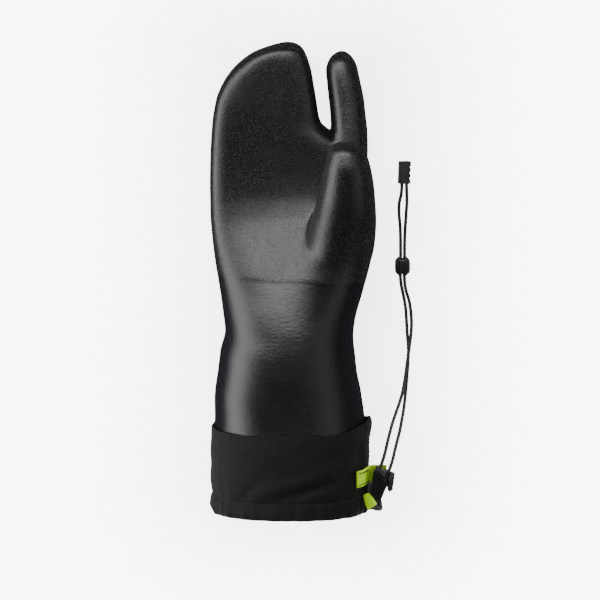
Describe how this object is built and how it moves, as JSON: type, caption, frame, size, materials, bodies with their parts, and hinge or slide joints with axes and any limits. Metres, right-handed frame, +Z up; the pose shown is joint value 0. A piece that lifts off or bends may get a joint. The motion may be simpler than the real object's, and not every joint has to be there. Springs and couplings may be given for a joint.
{
  "type": "three-finger work mitten",
  "caption": "Dipped, padded right-hand work mitten with a separate index finger and thumb, and a gathered cloth cuff with a drawcord, cord lock, bead and end piece.",
  "frame": {"origin": "on the surface that the mitten lies on, under the middle of the box round the mitten, its cuff and its cord lock, without the loose cord", "axes": "+Y from the cuff's hem to the fingertips, +X to the thumb's side, +Z up out of the palm"},
  "size_m": [0.1519, 0.3542, 0.0851],
  "materials": {
    "dipped_shell": "rough matt dip over a padded liner",
    "cuff_cloth": "woven, water-repellent",
    "lime_webbing": "woven webbing with dark stitches",
    "lock_plastic": "moulded, glossy",
    "button_plastic": "moulded, satin",
    "cord_braid": "braided",
    "bead_plastic": "moulded, satin",
    "end_plastic": "moulded, satin"
  },
  "bodies": {
    "root": {"mitten_shell": "dipped_shell", "index_stall": "dipped_shell", "thumb_stall": "dipped_shell", "cuff": "cuff_cloth", "lock_tab": "lime_webbing", "cord_loop": "lime_webbing", "lock_body": "lock_plastic", "lock_button": "button_plastic", "cord_a": "cord_braid", "cord_b": "cord_braid", "cord_bead": "bead_plastic", "cord_end": "end_plastic"}
  },
  "joints": []
}
